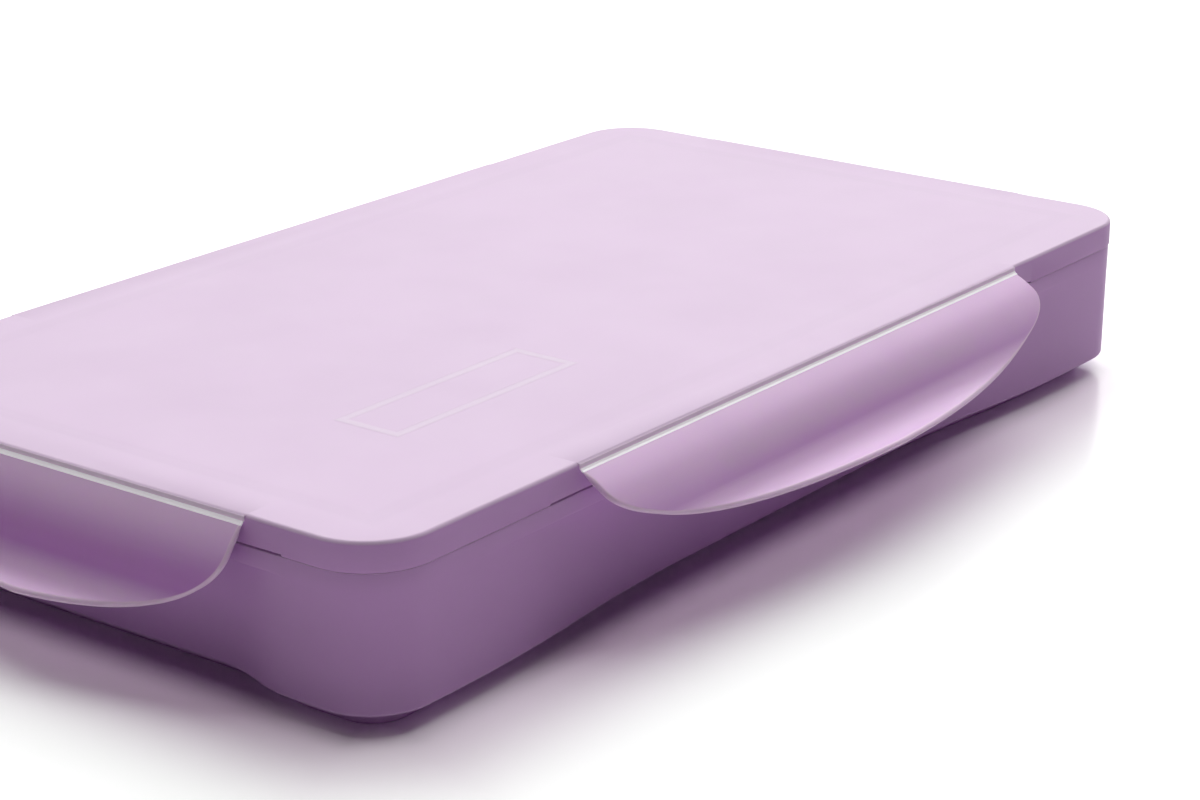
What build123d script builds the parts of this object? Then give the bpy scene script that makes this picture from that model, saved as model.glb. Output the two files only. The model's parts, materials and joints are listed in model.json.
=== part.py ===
"""Gouache paint set box: a shallow polypropylene tray with a lid held by four living-hinge latches.

Millimetres, +Z up. The origin is the centre of the face that the box rests on. X runs along the long
sides. "Outset" is measured outwards from the lid's outline and "drop" downwards from the lid's top.
"""
import os
from math import cos, radians, sin, tan

from build123d import *

# ---------------------------------------------------------------- the box
box_length = 320.0          # lid outline along X
box_width = 178.0           # lid outline along Y
box_height = 43.5           # from the feet to the lid's top
corner_radius = 16.2        # lid outline, in plan

# ---------------------------------------------------------------- lid
lid_thickness = 1.8
lid_edge_radius = 1.0       # rounding of the top edge, between the latches
skirt_depth = 6.9           # from the lid's top to the skirt's lower edge
skirt_thickness = 1.7
relief_height = 0.4         # the skirt's lower edge is this much higher at each latch
relief_margin = 10.0        # and for this far past the latch's ends

# ---------------------------------------------------------------- tray
wall = 2.4
floor_thickness = 2.4
draft = 0.55                # degrees
rim_overhang = 0.25         # the lid's skirt stands this far outside the tray's rim
seam_gap = 0.15             # between the skirt and the tray's shoulder
rim_fit = 0.2               # between the skirt and the tongue inside it
ledge_drop = 11.3           # underside of the ledge that the latches hold
shelf_thickness = 2.0
recess_depth = 4.8          # each side wall steps in below the ledge
recess_ease_long = 90.0     # length of the S-curve at each end of a recess, on a long side
recess_ease_short = 26.0    # and on a short side
recess_margin_long = 3.9    # from the end of the latch in to the middle of that curve
recess_margin_short = 1.5
base_radius = 1.2
foot_height = 4.3           # the foot stands this far below the walls
foot_inset = 5.5            # from the end of the rounding at the walls' lower edge
foot_width = 5.0            # of the ring that the box rests on
foot_rib = 4.0              # width of the two ribs that cross inside it
pocket_depth = 3.5          # between the ring and the ribs

# ---------------------------------------------------------------- latches
latch_end_long = 66.1       # from the box's corner to the end of a latch, on a long side
latch_end_short = 36.2      # and on a short side
latch_thickness = 1.6
root_angle = 40.6           # slope of the outer face at the hinge, below the horizontal
bow_angle = 81.2            # steepest slope, where the bow turns into the flare
bow_radius = 23.5
flare_radius = 8.8          # the flare ends level, at the lip
latch_side = 6.2            # straight stretch at each end, beside the hinge
outline_fullness = 2.27     # shape of the curved outline, along the latch's depth
outline_bluntness = 1.31    # and across it
root_thickness = 0.4        # at the hinge, growing to the full thickness
root_taper = 3.0            # over this distance
snap_end_long = 38.9        # from the end of a latch to the end of its snap bead
snap_end_short = 23.2
snap_height = 1.8
snap_below_ledge = 0.4
snap_gap = 0.15             # between the snap bead and the line of the tray's rim
front_latch_open = 20.6     # degrees; the front latch rests unfastened

# ---------------------------------------------------------------- living hinges
hinge_outset = 0.75         # the hinge axis lies this far outside the lid's outline
hinge_drop = 1.75           # and this far below its top
facet_angle = 60.0          # slope of the facet that leads down to a hinge, below the horizontal
hinge_strip = 0.8           # the strip that bends, from the facet's lower edge to the axis
hinge_thickness = 0.4       # of the strip, at that edge
hinge_bead_radius = 0.2
hinge_clearance = 0.05      # between the bead and the seat in the latch
hinge_end_gap = 0.3         # from a latch's end to the end of the facet

# ---------------------------------------------------------------- cups and their rack
cup_columns = 9
cup_rows = 4
cup_height = 14.0
cup_wall = 0.8
cup_draft = 3.0             # degrees
cup_corner = 5.0
cup_flange = 1.0            # rim that stands out round the mouth
cup_gap = 0.5               # between neighbouring flanges
cup_fit = 0.2               # between a cup and its hole in the rack
paint_below_rim = 2.2
rack_height = 9.0
rack_gap = 0.5              # between the rack and the tray

# ---------------------------------------------------------------- mixing palette
palette_thickness = 1.2
palette_gap = 0.4           # between the palette's rim and the tray
palette_margin = 2.0        # between the wells and the tray's inner walls
well_corner = 6.0
well_gap = 2.0              # between the outer faces of neighbouring wells
small_wells = 6
small_well_width = 36.0
small_well_depth = 7.5
large_wells = 3
large_well_depth = 9.5
grip_radius = 11.0          # finger notch in each end of the palette's rim

# ---------------------------------------------------------------- levels above the resting face
shoulder_z = box_height - skirt_depth - seam_gap
ledge_z = box_height - ledge_drop
shelf_z = ledge_z + shelf_thickness
tongue_z = box_height - lid_thickness
floor_z = pocket_depth + floor_thickness
slope = tan(radians(draft))

# ---------------------------------------------------------------- insets from the lid's outline
rim_inner_inset = rim_overhang + wall
body_inset = rim_overhang + slope * (shoulder_z - ledge_z)      # outer wall at the ledge
bay_inset = body_inset + recess_depth + wall                    # inner wall behind a recess

# ---------------------------------------------------------------- lengths along the sides
latch_length_long = box_length - 2 * latch_end_long
latch_length_short = box_width - 2 * latch_end_short
snap_length_long = latch_length_long - 2 * snap_end_long
snap_length_short = latch_length_short - 2 * snap_end_short

# each side: name, turn about Z, distance of the outline from the middle, latch and snap lengths
sides = (
    ("front", 0, box_width / 2, latch_length_long, snap_length_long),
    ("right", 90, box_length / 2, latch_length_short, snap_length_short),
    ("back", 180, box_width / 2, latch_length_long, snap_length_long),
    ("left", -90, box_length / 2, latch_length_short, snap_length_short),
)
# the S-curves of a recess on that side: how far their middles are from the side's middle, and their length
long_curve = latch_length_long / 2 - recess_margin_long, recess_ease_long
short_curve = latch_length_short / 2 - recess_margin_short, recess_ease_short


def outline(inset):
    """The rounded rectangle that lies this far inside the lid's outline."""
    return RectangleRounded(box_length - 2 * inset, box_width - 2 * inset, corner_radius - inset)


def prism(sketch, low, high):
    return extrude(Pos(0, 0, low) * sketch, high - low)


def slab(length, out_low, out_high, low, high, reach):
    """A box on the front side, between two outsets and two levels; reach is the outline's distance."""
    return Pos(0, -reach - (out_low + out_high) / 2, (low + high) / 2) * Box(
        length, out_high - out_low, high - low)


def bayed_outline(inset, depth):
    """The tray's plan below the ledge: a rounded rectangle whose sides ease in by depth at the latches."""
    edges = []
    radius = corner_radius - inset
    for _, turn, reach, _, _ in sides:
        across, (middle, ease) = (
            (box_length, long_curve) if reach == box_width / 2 else (box_width, short_curve))
        end = across / 2 - inset - radius
        y = -(reach - inset)
        outer, inner = middle + ease / 2, middle - ease / 2
        side = [
            Line((-end, y), (-outer, y)),
            TangentArc((-outer, y), (-middle, y + depth / 2), tangent=(1, 0)),
            TangentArc((-inner, y + depth), (-middle, y + depth / 2), tangent=(-1, 0)),
            Line((-inner, y + depth), (inner, y + depth)),
            TangentArc((inner, y + depth), (middle, y + depth / 2), tangent=(1, 0)),
            TangentArc((outer, y), (middle, y + depth / 2), tangent=(-1, 0)),
            Line((outer, y), (end, y)),
            CenterArc((end, y + radius), radius, -90, 90),
        ]
        edges += [Rot(0, 0, turn) * edge for edge in side]
    return make_face(Wire(edges))


def tapered(sketch, low, high):
    """A prism under a sketch that is true at its top and closes in by the draft on the way down."""
    shrunk = offset(sketch, -slope * (high - low))
    return loft([Pos(0, 0, low) * shrunk, Pos(0, 0, high) * sketch], ruled=True)


def make_tray():
    plan = bayed_outline(body_inset, recess_depth)
    base = tapered(plan, foot_height, ledge_z)
    base = fillet(base.edges().group_by(Axis.Z)[0], base_radius)
    foot_outline = offset(plan, -slope * (ledge_z - foot_height) - base_radius - foot_inset)
    ribs = Rectangle(box_length, foot_rib) + Rectangle(foot_rib, box_width)
    pockets = offset(foot_outline, -foot_width) - ribs
    foot = prism(foot_outline, 0, foot_height) - prism(pockets, 0, pocket_depth)
    rim = prism(outline(rim_overhang), ledge_z, shoulder_z)
    tongue = prism(outline(skirt_thickness + rim_fit), shoulder_z, tongue_z)
    inside = tapered(offset(plan, -wall), floor_z, shelf_z)
    inside_rim = prism(outline(rim_inner_inset), shelf_z, tongue_z)
    return base + foot + rim + tongue - inside - inside_rim


def place(point, reach):
    """The place on the front side of a point given as (outset, drop)."""
    return (0, -reach - point[0], box_height - point[1])


def facet(back, depth=0.0):
    """A point of the slope that leads down to a hinge: this far up it from the axis, this deep below it."""
    angle = radians(facet_angle)
    return (hinge_outset - back * cos(angle) - depth * sin(angle),
            hinge_drop - back * sin(angle) + depth * cos(angle))


def make_hinge_flange(turn, reach, length):
    """The lid's edge above a latch: sharp at the top, with the facet outside it."""
    inner = lid_edge_radius + hinge_thickness
    root = facet(hinge_strip, inner)
    crest = facet(hinge_drop / sin(radians(facet_angle)))
    face = make_face(Polyline(*[place(point, reach) for point in (
        (-inner, 0), crest, facet(hinge_strip), root, (-inner, root[1]))], close=True))
    return Rot(0, 0, turn) * extrude(face, length / 2, dir=(1, 0, 0), both=True)


def make_lid():
    low = box_height - skirt_depth
    block = prism(outline(0), low, box_height)
    lid = fillet(block.edges().group_by(Axis.Z)[-1], lid_edge_radius)
    for _, turn, reach, latch_length, _ in sides:
        lid += make_hinge_flange(turn, reach, latch_length + 2 * hinge_end_gap)
        relief = latch_length + 2 * relief_margin
        lid -= Rot(0, 0, turn) * slab(relief, -skirt_thickness, hinge_outset, low, low + relief_height, reach)
    return lid - prism(outline(skirt_thickness), low, tongue_z)


# ---------------------------------------------------------------- the latch's section
# In the section a point is (outset, drop). The hinge axis lies on the outer face.
bow_length = radians(bow_angle - root_angle) * bow_radius
latch_depth = bow_length + radians(bow_angle) * flare_radius        # along the curved face, to the lip
view_angle = bow_angle / 2              # the outline is cut square to this slope


def section(along, depth=0.0):
    """Outset, drop and slope at a distance along the outer face, this deep below it."""
    if along <= bow_length:
        slope_here = radians(root_angle) + along / bow_radius
        outset = hinge_outset + bow_radius * (sin(slope_here) - sin(radians(root_angle)))
        drop = hinge_drop + bow_radius * (cos(radians(root_angle)) - cos(slope_here))
    else:
        outset, drop, start = section(bow_length)
        slope_here = start - (along - bow_length) / flare_radius
        outset += flare_radius * (sin(start) - sin(slope_here))
        drop += flare_radius * (cos(slope_here) - cos(start))
    return outset - depth * sin(slope_here), drop + depth * cos(slope_here), slope_here


def latch_sheet(reach, length):
    """The latch as a bent sheet of full length, closed, on the front side, before it is cut to its outline."""
    lip_end = latch_depth + latch_thickness

    def at(along, depth):
        return place(section(along, depth), reach)

    def arc(first, last, depth):
        return ThreePointArc(at(first, depth), at((first + last) / 2, depth), at(last, depth))

    edges = [
        arc(0, bow_length, 0),
        arc(bow_length, lip_end, 0),
        Line(at(lip_end, 0), at(lip_end, latch_thickness)),
        arc(lip_end, bow_length, latch_thickness),
        arc(bow_length, root_taper, latch_thickness),
        Line(at(root_taper, latch_thickness), at(0, root_thickness)),
        Line(at(0, root_thickness), at(0, 0)),
    ]
    return extrude(make_face(Wire(edges)), length / 2, dir=(1, 0, 0), both=True)


def latch_outline(reach, length):
    """The solid under the latch's curved outline, square to view_angle."""
    half = length / 2
    tilt = radians(view_angle)

    def shadow(along):
        outset, drop, _ = section(along)
        return (outset - hinge_outset) * cos(tilt) + (drop - hinge_drop) * sin(tilt)

    steps = 10
    curve = []
    for step in range(steps + 1):
        turn = radians(90 * step / steps)
        along = latch_side + (latch_depth - latch_side) * sin(turn) ** (2 / outline_fullness)
        curve.append((half * cos(turn) ** (2 / outline_bluntness), shadow(along)))
    right = Spline(*curve, tangents=[(0, 1), (-1, 0)])
    left = mirror(right, Plane.YZ)
    back = -2 * hinge_bead_radius
    face = make_face([
        right, left,
        Polyline((half, curve[0][1]), (half, back), (-half, back), (-half, curve[0][1])),
    ])
    hinge = place(section(0), reach)
    plane = Plane(origin=hinge, x_dir=(1, 0, 0), z_dir=(0, sin(tilt), -cos(tilt)))
    return extrude(plane * face, latch_depth, both=True)


def snap_bead(reach, length):
    """The bar inside the latch whose tip comes to the rim, just below the ledge."""
    top = ledge_drop + snap_below_ledge
    bottom = top + snap_height
    face_outset = section(bow_length, latch_thickness)[0] + latch_thickness / 2
    tip = snap_gap - rim_overhang
    edges = Polyline(*[place(point, reach) for point in (
        (face_outset, top - snap_height / 2), (tip, top), (tip, top + snap_height / 3),
        (face_outset, bottom + snap_height / 2))], close=True)
    return extrude(make_face(edges), length / 2, dir=(1, 0, 0), both=True)


def latch_filler(reach, length):
    """All that lies inside the middle of the latch's wall, so that the snap bead ends within it."""
    def at(along):
        return place(section(along, latch_thickness / 2), reach)

    inner = place((-box_height, ledge_drop), reach)
    edges = [
        ThreePointArc(at(0), at(bow_length / 2), at(bow_length)),
        ThreePointArc(at(bow_length), at((bow_length + latch_depth) / 2), at(latch_depth)),
        Line(at(latch_depth), (0, inner[1], at(latch_depth)[2])),
        Line((0, inner[1], at(latch_depth)[2]), (0, inner[1], at(0)[2])),
        Line((0, inner[1], at(0)[2]), at(0)),
    ]
    return extrude(make_face(Wire(edges)), length, dir=(1, 0, 0), both=True)


def make_latch(turn, reach, length, snap_length, opened):
    seat_radius = hinge_bead_radius + hinge_clearance
    hinge = Pos(*place(section(0), reach))
    latch = latch_sheet(reach, length) & latch_outline(reach, length)
    latch += snap_bead(reach, snap_length) & latch_filler(reach, snap_length)
    latch -= hinge * Rot(0, 90, 0) * Cylinder(seat_radius, length + 1)
    latch = hinge * Rot(-opened, 0, 0) * hinge.inverse() * latch
    return Rot(0, 0, turn) * latch


def make_hinge_web(turn, reach, length):
    """The thin strip between the lid's facet and the latch, with a bead on the hinge axis."""
    strip = make_face(Polyline(*[place(point, reach) for point in (
        facet(hinge_strip), facet(0), facet(0, hinge_bead_radius),
        facet(hinge_strip, hinge_thickness))], close=True))
    web = extrude(strip, length / 2, dir=(1, 0, 0), both=True)
    web += Pos(*place(facet(0), reach)) * Rot(0, 90, 0) * Cylinder(hinge_bead_radius, length)
    return Rot(0, 0, turn) * web


# ---------------------------------------------------------------- cups, rack and palette
def clear_half(z, inset=0.0):
    """Half the room between opposite recessed walls at a level, along X and along Y."""
    taken = bay_inset + slope * (shelf_z - z) + inset
    return box_length / 2 - taken, box_width / 2 - taken


rack_half = clear_half(floor_z, rack_gap)
pitch_x = 2 * rack_half[0] / cup_columns
pitch_y = 2 * rack_half[1] / cup_rows
mouth_x = pitch_x - cup_gap - 2 * cup_flange            # the cup's outer size under its flange
mouth_y = pitch_y - cup_gap - 2 * cup_flange
cup_slope = tan(radians(cup_draft))


def cup_places():
    for row in range(cup_rows):
        y = (row - (cup_rows - 1) / 2) * pitch_y
        yield [((column - (cup_columns - 1) / 2) * pitch_x, y) for column in range(cup_columns)]


def frustum(low, high, inset):
    """A cup-shaped block between two levels, this far inside the outer face of a cup."""
    faces = []
    for z in (low, high):
        taken = inset + cup_slope * (floor_z + cup_height - z)
        faces.append(Pos(0, 0, z) * RectangleRounded(
            mouth_x - 2 * taken, mouth_y - 2 * taken, cup_corner - taken))
    return loft(faces, ruled=True)


def make_cup():
    top = floor_z + cup_height
    flange = RectangleRounded(mouth_x + 2 * cup_flange, mouth_y + 2 * cup_flange, cup_corner + cup_flange)
    cup = frustum(floor_z, top, 0) + prism(flange, top - cup_wall, top)
    return cup - frustum(floor_z + cup_wall, top, cup_wall)


def make_paint():
    return frustum(floor_z + cup_wall, floor_z + cup_height - paint_below_rim, cup_wall)


def make_rack():
    rack_top = floor_z + rack_height
    taken = cup_slope * (cup_height - rack_height) - cup_fit
    hole = RectangleRounded(mouth_x - 2 * taken, mouth_y - 2 * taken, cup_corner - taken)
    corner = corner_radius - rim_inner_inset
    plate = RectangleRounded(2 * rack_half[0], 2 * rack_half[1], corner)
    for row in cup_places():
        for place_xy in row:
            plate -= Pos(*place_xy) * hole
    return prism(plate, floor_z, rack_top)


def well_row(count, room, size_y, y):
    """Places and outer size of a row of equal wells."""
    size_x = (2 * room - (count - 1) * well_gap) / count
    first = -room + size_x / 2
    return [(first + k * (size_x + well_gap), y) for k in range(count)], (size_x, size_y)


def make_palette():
    rim_low, rim_top = shelf_z, shelf_z + palette_thickness
    palette = prism(outline(rim_inner_inset + palette_gap), rim_low, rim_top)
    half_x, half_y = clear_half(rim_low - large_well_depth, palette_margin)
    large_width = 2 * half_y - small_well_width - well_gap
    rows = (
        (small_wells, small_well_width, half_y - small_well_width / 2, small_well_depth),
        (large_wells, large_width, -half_y + large_width / 2, large_well_depth),
    )
    wells = []
    for count, width, y, depth in rows:
        spots, size = well_row(count, half_x, width, y)
        for spot in spots:
            low = rim_top - depth
            shell = Pos(*spot) * RectangleRounded(*size, well_corner)
            palette += prism(shell, low - palette_thickness, rim_low)
            hollow = Pos(*spot) * RectangleRounded(
                size[0] - 2 * palette_thickness, size[1] - 2 * palette_thickness,
                well_corner - palette_thickness)
            well = prism(hollow, low, rim_top)
            wells.append(fillet(well.edges().group_by(Axis.Z)[0], well_corner / 2))
    for well in wells:
        palette -= well
    rim_end = box_length / 2 - rim_inner_inset - palette_gap
    for end in (-1, 1):
        grip = Pos(end * rim_end, 0, rim_low) * Cylinder(grip_radius, 3 * palette_thickness)
        beyond = Pos(end * (half_x + grip_radius), 0, rim_low) * Box(2 * grip_radius, 4 * grip_radius, box_height)
        palette -= grip & beyond
    return palette


def build():
    nodes = {"tray_shell": make_tray(), "lid_shell": make_lid()}
    for name, turn, reach, latch_length, snap_length in sides:
        opened = front_latch_open if name == "front" else 0
        nodes[f"latch_{name}"] = make_latch(turn, reach, latch_length, snap_length, opened)
        nodes[f"hinge_web_{name}"] = make_hinge_web(turn, reach, latch_length)
    nodes["mixing_palette"] = make_palette()
    nodes["cup_rack"] = make_rack()
    cup, paint = make_cup(), make_paint()
    number = 0
    for row, places in enumerate(cup_places(), start=1):
        nodes[f"cups_row_{row}"] = Compound([Pos(*spot) * cup for spot in places])
        for spot in places:
            number += 1
            nodes[f"paint_{number:02d}"] = Pos(*spot) * paint
    return nodes


os.makedirs("parts", exist_ok=True)
for node, shape in build().items():
    export_step(shape, f"parts/{node}.step")
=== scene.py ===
# %% [markdown]
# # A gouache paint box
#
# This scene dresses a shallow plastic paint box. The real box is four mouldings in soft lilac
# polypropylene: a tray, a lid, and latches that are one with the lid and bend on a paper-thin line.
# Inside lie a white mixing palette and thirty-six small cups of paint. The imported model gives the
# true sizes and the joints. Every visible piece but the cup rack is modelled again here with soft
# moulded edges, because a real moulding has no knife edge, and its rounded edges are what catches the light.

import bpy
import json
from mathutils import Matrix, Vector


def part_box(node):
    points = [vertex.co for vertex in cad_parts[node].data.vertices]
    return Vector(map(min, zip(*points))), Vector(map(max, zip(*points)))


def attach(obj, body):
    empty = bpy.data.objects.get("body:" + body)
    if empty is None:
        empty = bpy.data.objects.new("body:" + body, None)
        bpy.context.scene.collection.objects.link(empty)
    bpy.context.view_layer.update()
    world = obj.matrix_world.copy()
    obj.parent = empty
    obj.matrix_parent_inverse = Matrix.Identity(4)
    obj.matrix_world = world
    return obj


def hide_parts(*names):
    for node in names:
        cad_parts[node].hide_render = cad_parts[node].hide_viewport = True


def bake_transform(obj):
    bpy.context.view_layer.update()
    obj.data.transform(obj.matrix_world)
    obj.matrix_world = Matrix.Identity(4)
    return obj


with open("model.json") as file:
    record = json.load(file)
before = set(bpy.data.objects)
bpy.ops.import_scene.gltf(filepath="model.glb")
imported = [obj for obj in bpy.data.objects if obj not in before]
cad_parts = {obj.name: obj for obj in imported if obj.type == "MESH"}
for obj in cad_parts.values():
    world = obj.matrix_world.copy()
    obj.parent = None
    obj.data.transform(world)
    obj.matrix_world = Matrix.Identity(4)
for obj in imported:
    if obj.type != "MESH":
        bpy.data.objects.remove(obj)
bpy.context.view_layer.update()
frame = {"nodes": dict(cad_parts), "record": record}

# %% [markdown]
# Blender's own modules come next. `bmesh` is only used to choose what is selected in edit mode and to
# put a ring of vertices in its place. The sizes are in metres, so `MM` turns a drawing's millimetres
# into metres. The outline of the lid and all heights come from the frame.

# %% Modules and the sizes that several pieces share
import json
from contextlib import contextmanager
from math import atan2, cos, pi, radians, sin, sqrt, tan

import bmesh
import bpy
from mathutils import Matrix, Vector

MM = 0.001
rim_overhang = 0.25 * MM            # the lid stands this far outside the tray
tray_low, tray_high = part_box("tray_shell")
lid_low, lid_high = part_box("lid_shell")
box_length = tray_high.x - tray_low.x + 2 * rim_overhang
box_width = tray_high.y - tray_low.y + 2 * rim_overhang
box_height = lid_high.z
corner_radius = 16.2 * MM
skirt_edge = lid_low.z
relief_height = 0.4 * MM            # the skirt is this much shorter beside and behind each latch
skirt_thickness = 1.7 * MM
lid_thickness = 1.8 * MM
wall = 2.4 * MM
slope = tan(radians(0.55))          # the draft that lets the tray leave its mould

# each side: its turn about Z, the outline's distance from the middle, and half the latch's length
sides = {}
for side, turn, reach in (("front", 0, box_width / 2), ("right", 90, box_length / 2),
                          ("back", 180, box_width / 2), ("left", -90, box_length / 2)):
    low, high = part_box(f"latch_{side}")
    half = (high.x - low.x if side in ("front", "back") else high.y - low.y) / 2
    sides[side] = (turn, reach, half)
print("half the latch lengths in mm:", {side: round(1000 * s[2], 2) for side, s in sides.items()})

# %% [markdown]
# ## Working in edit mode
# Operators act on whatever is selected, so a few small helpers keep that tidy. `editing` opens edit
# mode on one piece with nothing selected and closes it again. `choose` selects the vertices, edges or
# faces that pass a test, as a person would pick them by eye.

# %% Helpers for edit mode
@contextmanager
def editing(piece):
    bpy.ops.object.select_all(action="DESELECT")
    bpy.context.view_layer.objects.active = piece
    piece.select_set(True)
    bpy.ops.object.mode_set(mode="EDIT")
    bpy.ops.mesh.select_mode(type="VERT")
    bpy.ops.mesh.select_all(action="DESELECT")
    yield piece
    bpy.ops.object.mode_set(mode="OBJECT")


def choose(piece, kind, test):
    """Selects the "verts", "edges" or "faces" that pass a test, and nothing else."""
    bpy.ops.mesh.select_mode(type={"verts": "VERT", "edges": "EDGE", "faces": "FACE"}[kind])
    bpy.ops.mesh.select_all(action="DESELECT")
    mesh = bmesh.from_edit_mesh(piece.data)
    for part in getattr(mesh, kind):
        part.select_set(bool(test(part)))
    mesh.select_flush_mode()
    bmesh.update_edit_mesh(piece.data)


def cut_across(axis, places):
    """Cuts everything with planes square to an axis, at these places."""
    for place in places:
        point, normal = [0, 0, 0], [0, 0, 0]
        point[axis], normal[axis] = place, 1
        bpy.ops.mesh.select_all(action="SELECT")
        bpy.ops.mesh.bisect(plane_co=point, plane_no=normal)


def finish_mesh(piece, sharp_angle=40):
    """Merges stray doubles, turns all faces outwards and shades the piece smooth."""
    with editing(piece):
        bpy.ops.mesh.select_all(action="SELECT")
        bpy.ops.mesh.remove_doubles(threshold=1e-7)
        bpy.ops.mesh.normals_make_consistent(inside=False)
    bpy.ops.object.shade_smooth_by_angle(angle=radians(sharp_angle))


def apply_modifier(piece, kind, **settings):
    """Adds a modifier, sets it, and applies it."""
    modifier = piece.modifiers.new(kind.title(), kind)
    for name, value in settings.items():
        setattr(modifier, name, value)
    bpy.ops.object.select_all(action="DESELECT")
    bpy.context.view_layer.objects.active = piece
    piece.select_set(True)
    bpy.ops.object.modifier_apply(modifier=modifier.name)


def join(piece, others):
    """Joins the others into a piece."""
    bpy.ops.object.select_all(action="DESELECT")
    for part in (piece, *others):
        part.select_set(True)
    bpy.context.view_layer.objects.active = piece
    bpy.ops.object.join()


def report(piece):
    faces = len(piece.data.polygons)
    print(f"{piece.name}: {faces} faces, {[round(1000 * d, 1) for d in piece.dimensions]} mm")


# %% [markdown]
# ## Rounded corners in a section
# The tray and the lid are each one section carried round the box. A section is a list of corners,
# `(outset, height, radius, steps)`, with outset measured outwards from the lid's outline. `soften`
# replaces every corner by a small arc. Where a side of the section is too short for the radius the arc
# is smaller, so it always fits, and the number of points never changes. That matters, because the
# section has to have as many points at each station round the box.

# %% Soften a section
def soften(corners):
    points = [corners[0][:2]]
    for before, here, after in zip(corners, corners[1:], corners[2:]):
        middle = Vector(here[:2])
        back, ahead = Vector(before[:2]) - middle, Vector(after[:2]) - middle
        steps = here[3]
        opening = back.angle(ahead, pi)
        if opening > pi - 1e-3 or min(back.length, ahead.length) < 1e-8:
            points += [tuple(middle)] * (steps + 1)
            continue
        run = min(here[2] / tan(opening / 2), 0.48 * back.length, 0.48 * ahead.length)
        radius = run * tan(opening / 2)
        centre = middle + (back.normalized() + ahead.normalized()).normalized() * radius / sin(opening / 2)
        start = middle + back.normalized() * run - centre
        end = middle + ahead.normalized() * run - centre
        first = atan2(start.y, start.x)
        sweep = (atan2(end.y, end.x) - first + pi) % (2 * pi) - pi
        for step in range(steps + 1):
            angle = first + sweep * step / steps
            points.append((centre.x + radius * cos(angle), centre.y + radius * sin(angle)))
    points.append(corners[-1][:2])
    return points


# %% [markdown]
# ## Carrying a section round the box
# The work starts as a flat plane. Its four corners are rounded with the bevel tool, and the bisect tool
# puts extra vertices on the straight sides wherever the section will change. The face is then extruded
# again and again, and each new ring is settled on the next point of the section. An attribute numbers
# the vertices, and extrusion copies it, so every vertex knows its station.

# %% Draw an outline and loft the section
def draw_outline(name, length, width, radius, cuts_x=(), cuts_y=(), corner_steps=14):
    """A flat rounded rectangle in one face, with extra vertices on its outline."""
    bpy.ops.object.select_all(action="DESELECT")
    bpy.ops.mesh.primitive_plane_add(size=1)
    piece = bpy.context.object
    piece.name = piece.data.name = name
    with editing(piece):
        bpy.ops.mesh.select_all(action="SELECT")
        bpy.ops.transform.resize(value=(length, width, 1))
        bpy.ops.mesh.bevel(offset=radius, segments=corner_steps, affect="VERTICES")
        cut_across(0, cuts_x)
        cut_across(1, cuts_y)
        bpy.ops.mesh.select_all(action="SELECT")
        if cuts_x or cuts_y:
            bpy.ops.mesh.dissolve_faces()
    return piece


def outline_stations(piece, length, width, radius):
    """For each vertex of the outline: its point and the direction outwards. Numbers the vertices too."""
    stations = []
    numbers = piece.data.attributes.new("station", "INT", "POINT")
    for index, vertex in enumerate(piece.data.vertices):
        x, y = vertex.co.x, vertex.co.y
        past_x, past_y = abs(x) - (length / 2 - radius), abs(y) - (width / 2 - radius)
        sign_x, sign_y = (1 if x > 0 else -1), (1 if y > 0 else -1)
        if past_x > 1e-6 and past_y > 1e-6:
            outward = Vector((sign_x * past_x, sign_y * past_y)).normalized()
        elif past_x > past_y:
            outward = Vector((sign_x, 0))
        else:
            outward = Vector((0, sign_y))
        stations.append((Vector((x, y)), outward))
        numbers.data[index].value = index
    return stations


def settle(piece, places):
    """Puts each selected vertex on the place of its station."""
    mesh = bmesh.from_edit_mesh(piece.data)
    station = mesh.verts.layers.int["station"]
    for vertex in mesh.verts:
        if vertex.select:
            vertex.co = places[vertex[station]]
    bmesh.update_edit_mesh(piece.data)


def loft(piece, stations, sections):
    """Extrudes the outline ring by ring along the sections, one section for each station."""
    with editing(piece):
        bpy.ops.mesh.select_all(action="SELECT")
        for ring in range(len(sections[0])):
            if ring:
                bpy.ops.mesh.select_mode(type="FACE")
                bpy.ops.mesh.extrude_region_move()
            settle(piece, [
                (*(point + outward * section[ring][0]), section[ring][1])
                for (point, outward), section in zip(stations, sections)])
    piece.data.attributes.remove(piece.data.attributes["station"])
    finish_mesh(piece)
    return piece


# %% [markdown]
# ## The tray
# Below the ledge each side wall steps inwards behind its latch, in an easy S-curve at either end. That
# gives a finger room to lift the latch, and it stiffens a long thin wall. `recess` says how deep the
# step is at a station. It is two equal arcs, one bending in and one bending back.

# %% Model the tray
ledge_z = box_height - 11.3 * MM
shelf_z = ledge_z + 2 * MM
shoulder_z = skirt_edge - 0.15 * MM
tongue_z = box_height - lid_thickness
floor_z = 5.9 * MM
pocket_top = 3.5 * MM
foot_height = 4.3 * MM
foot_width = 5 * MM
foot_rib = 4 * MM
floor_margin = 6 * MM               # the section reaches this far in over the tray's floor
base_radius = 1.2 * MM
foot_inset = 5.5 * MM
recess_depth = 4.8 * MM
recess_curves = {                   # from the side's middle to the middle of the S-curve, and its length
    "front": (sides["front"][2] - 3.9 * MM, 90 * MM),
    "left": (sides["left"][2] - 1.5 * MM, 26 * MM),
}
wall_inset = rim_overhang + slope * (shoulder_z - ledge_z)


def recess(point, outward):
    if max(abs(outward.x), abs(outward.y)) < 0.999:
        return 0.0
    along, side = (abs(point.x), "front") if abs(outward.y) > 0.999 else (abs(point.y), "left")
    middle, length = recess_curves[side]
    radius = (length ** 2 / 4 + recess_depth ** 2 / 4) / recess_depth
    into = middle + length / 2 - along
    if into <= 0:
        return 0.0
    if into >= length:
        return recess_depth
    if into > length / 2:
        return recess_depth - (radius - sqrt(radius ** 2 - (length - into) ** 2))
    return radius - sqrt(radius ** 2 - into ** 2)


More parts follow.
